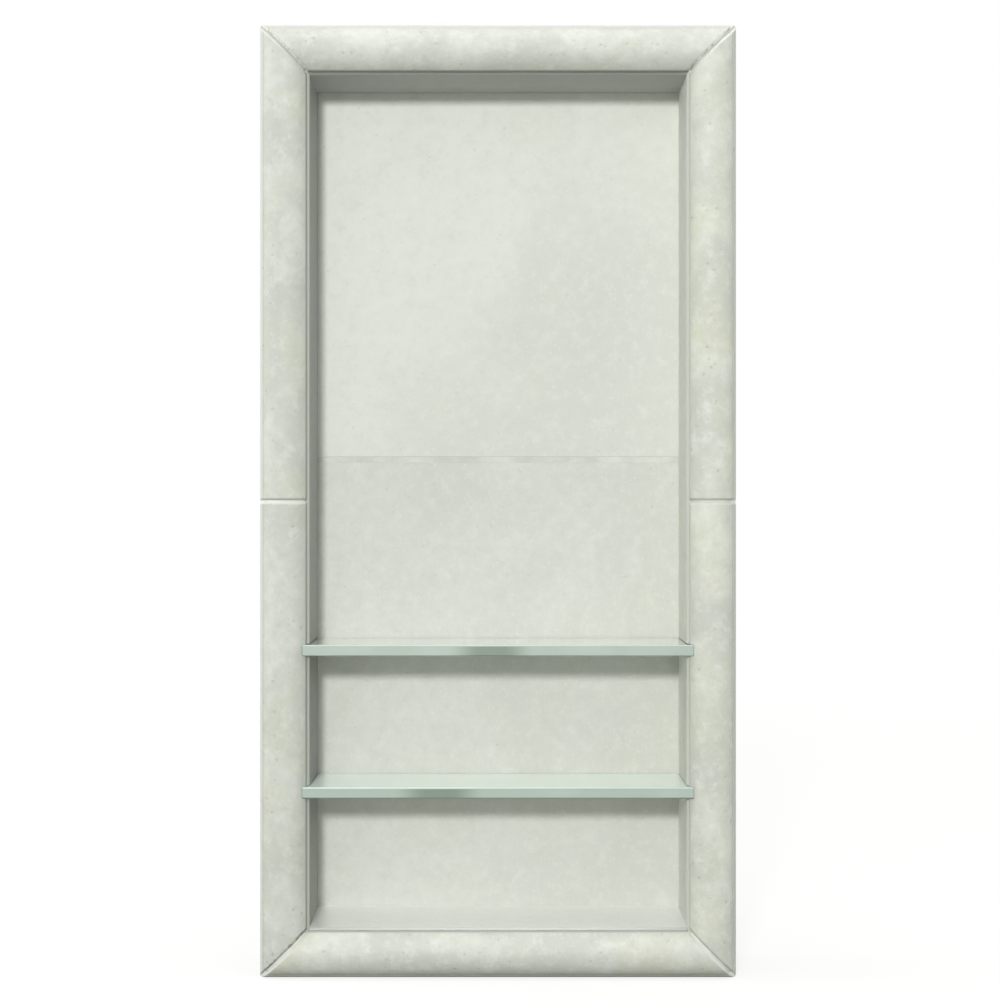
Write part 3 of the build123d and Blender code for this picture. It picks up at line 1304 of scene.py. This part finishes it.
@dataclass
class GlassShelves:
    """Two sheets of float glass with ground edges, let into the sides of the niche."""

    shelves: tuple[Shelf, ...] = SHELVES
    arris: float = 0.9 * MM
    arris_steps: int = 2
    arris_profile: float = 0.6
    level: float = 0.99

    def build(self) -> list[Object]:
        """Builds both shelves.

        Returns:
            The shelves in their places.
        """
        glass = FloatGlass()
        return [self.sheet(shelf.node, (glass.faces(shelf), glass.edges(shelf))) for shelf in self.shelves]

    def sheet(self, node: str, finishes: tuple[Material, Material]) -> Object:
        """Builds one sheet with arrised edges.

        Args:
            node: Packed shelf that the sheet stands for.
            finishes: Materials of the faces and of the edges.

        Returns:
            The sheet.
        """
        low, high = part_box(node)
        shape = bmesh.new()
        bmesh.ops.create_cube(shape, size=1.0)
        size = high - low
        placed = Matrix.Translation((low + high) / 2) @ Matrix.Diagonal((*size, 1.0))
        bmesh.ops.transform(shape, matrix=placed, verts=shape.verts)
        bmesh.ops.bevel(
            shape,
            geom=list(shape.edges),
            offset=self.arris,
            segments=self.arris_steps,
            profile=self.arris_profile,
            affect="EDGES",
        )
        for face in shape.faces:
            face.material_index = 0 if abs(face.normal.z) > self.level else 1
        mesh = bpy.data.meshes.new(f"glass_{node}")
        shape.to_mesh(mesh)
        shape.free()
        for finish in finishes:
            mesh.materials.append(finish)
        made = bpy.data.objects.new(f"glass_{node}", mesh)
        bpy.context.scene.collection.objects.link(made)
        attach(made, BODY)
        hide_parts(node)
        return made


@dataclass(frozen=True)
class Lamp:
    """A soft lamp that looks at the middle of the opening: its place, its disc's diameter and its watts."""

    name: str
    place: tuple[float, float, float]
    size: float
    power: float


@dataclass
class Studio:
    """Camera, soft lights and the pale floor."""

    camera_distance: float = 1.847
    camera_right: float = 1.7 * MM
    camera_up: float = 1.1 * MM
    focal_pixels: float = 2162.0
    image_pixels: float = 1000.0
    sensor: float = 36.0
    lamps: tuple[Lamp, ...] = (
        Lamp("key_light", (-0.35, -3.0, 0.69), 0.3, 52.4),
        Lamp("front_light", (0.0, -3.0, 0.3), 2.4, 6.3),
        Lamp("overhead_light", (0.0, -0.1, 2.2), 1.2, 16.2),
        Lamp("left_light", (-2.3, 0.2, 0.4), 1.2, 18.6),
        Lamp("right_light", (2.3, -0.25, 0.4), 1.2, 7.5),
    )
    white: str = "#FFFFFF"
    dome: float = 0.395
    floor_radius: float = 4.0
    floor_sides: int = 96
    floor_gap: float = 0.3 * MM
    floor_bounce: str = "#8E908C"
    floor_glow: tuple[float, float] = (0.77, 0.885)
    floor_fade: tuple[float, float] = (0.3, 3.0)

    def build(self) -> None:
        """Sets up the camera, the lights, the world and the floor."""
        scene = bpy.context.scene
        scene.view_settings.view_transform = "Standard"
        camera = bpy.data.cameras.new("camera")
        camera.sensor_width = self.sensor
        camera.lens = self.focal_pixels / self.image_pixels * self.sensor
        holder = bpy.data.objects.new("camera", camera)
        holder.location = (self.camera_right, -self.camera_distance, self.camera_up)
        holder.rotation_euler = (math.pi / 2, 0, 0)
        scene.collection.objects.link(holder)
        scene.camera = holder
        for lamp in self.lamps:
            self.light(lamp)
        self.world()
        self.floor()

    @staticmethod
    def light(lamp: Lamp) -> None:
        """Adds one lamp.

        Args:
            lamp: The lamp.
        """
        light = bpy.data.lights.new(lamp.name, "AREA")
        light.shape = "DISK"
        light.size = lamp.size
        light.energy = lamp.power
        holder = bpy.data.objects.new(lamp.name, light)
        holder.location = lamp.place
        holder.rotation_euler = (-Vector(lamp.place)).to_track_quat("-Z", "Y").to_euler()
        bpy.context.scene.collection.objects.link(holder)

    @staticmethod
    def shown(tree: Tree) -> Node:
        """Tells the rays that see the background from those that light the object.

        Args:
            tree: Tree of the background.

        Returns:
            A node that gives 1 for the eye and for what it sees in gloss and glass, and 0 for light.
        """
        add = partial(add_node, tree)
        rays = add("ShaderNodeLightPath").outputs
        seen = add(MATH, {0: rays["Is Camera Ray"], 1: rays["Is Glossy Ray"]}, operation="MAXIMUM")
        return add(MATH, {0: seen, 1: rays["Is Transmission Ray"]}, operation="MAXIMUM")

    def world(self) -> None:
        """Makes the even dome, which looks white where the camera or a reflection meets it."""
        world = bpy.data.worlds.new("dome")
        world.use_nodes = True
        tree = world.node_tree
        tree.nodes.clear()
        add = partial(add_node, tree)
        strength = add(MAP_RANGE, {"Value": self.shown(tree), "To Min": self.dome, "To Max": 1.0})
        light = add("ShaderNodeBackground", {"Color": colour(self.white), "Strength": strength})
        add("ShaderNodeOutputWorld", {"Surface": light})
        bpy.context.scene.world = world

    def floor(self) -> None:
        """Makes the pale floor, which looks white outside the object's shadow."""
        shape = bmesh.new()
        bmesh.ops.create_circle(shape, cap_ends=True, segments=self.floor_sides, radius=self.floor_radius)
        level = CAD_BOX[0].z - self.floor_gap
        bmesh.ops.translate(shape, verts=shape.verts, vec=(0, 0, level))
        mesh = bpy.data.meshes.new("floor")
        shape.to_mesh(mesh)
        shape.free()
        material, tree = new_material("pale_studio_floor")
        add = partial(add_node, tree)
        place = add(COORDINATES).outputs["Object"]
        flat = add(VECTOR_MATH, {0: place, 1: (1.0, 1.0, 0.0)}, operation="MULTIPLY")
        away = add(VECTOR_MATH, {0: flat}, operation="LENGTH").outputs["Value"]
        sockets = ("From Min", "From Max", "To Min", "To Max")
        fade = dict(zip(sockets, self.floor_fade + self.floor_glow))
        paper = add(MAP_RANGE, {"Value": away, **fade})
        glow = add(MATH, {0: self.shown(tree), 1: paper}, operation="MULTIPLY")
        shader = add(
            SURFACE,
            {
                "Base Color": colour(self.floor_bounce),
                "Roughness": 1.0,
                "Specular IOR Level": 0.0,
                "Emission Color": colour(self.white),
                "Emission Strength": glow,
            },
        )
        add(OUTPUT, {"Surface": shader})
        mesh.materials.append(material)
        made = bpy.data.objects.new("floor", mesh)
        bpy.context.scene.collection.objects.link(made)


def main() -> None:
    """Builds the looks of the niche insert, piece by piece."""
    logging.basicConfig(level=logging.INFO, format="%(name)s: %(message)s")
    trim = BullnoseFrame()
    for piece in [*trim.build(), *JointGrout(trim).build()]:
        LOG.info("%s: %d faces", piece.name, len(piece.data.polygons))
    StoneBox().dress()
    LOG.info("stone box dressed")
    for piece in GlassShelves().build():
        LOG.info("%s: %d faces", piece.name, len(piece.data.polygons))
    Studio().build()
    LOG.info("studio ready")


if __name__ == "__main__":
    main()
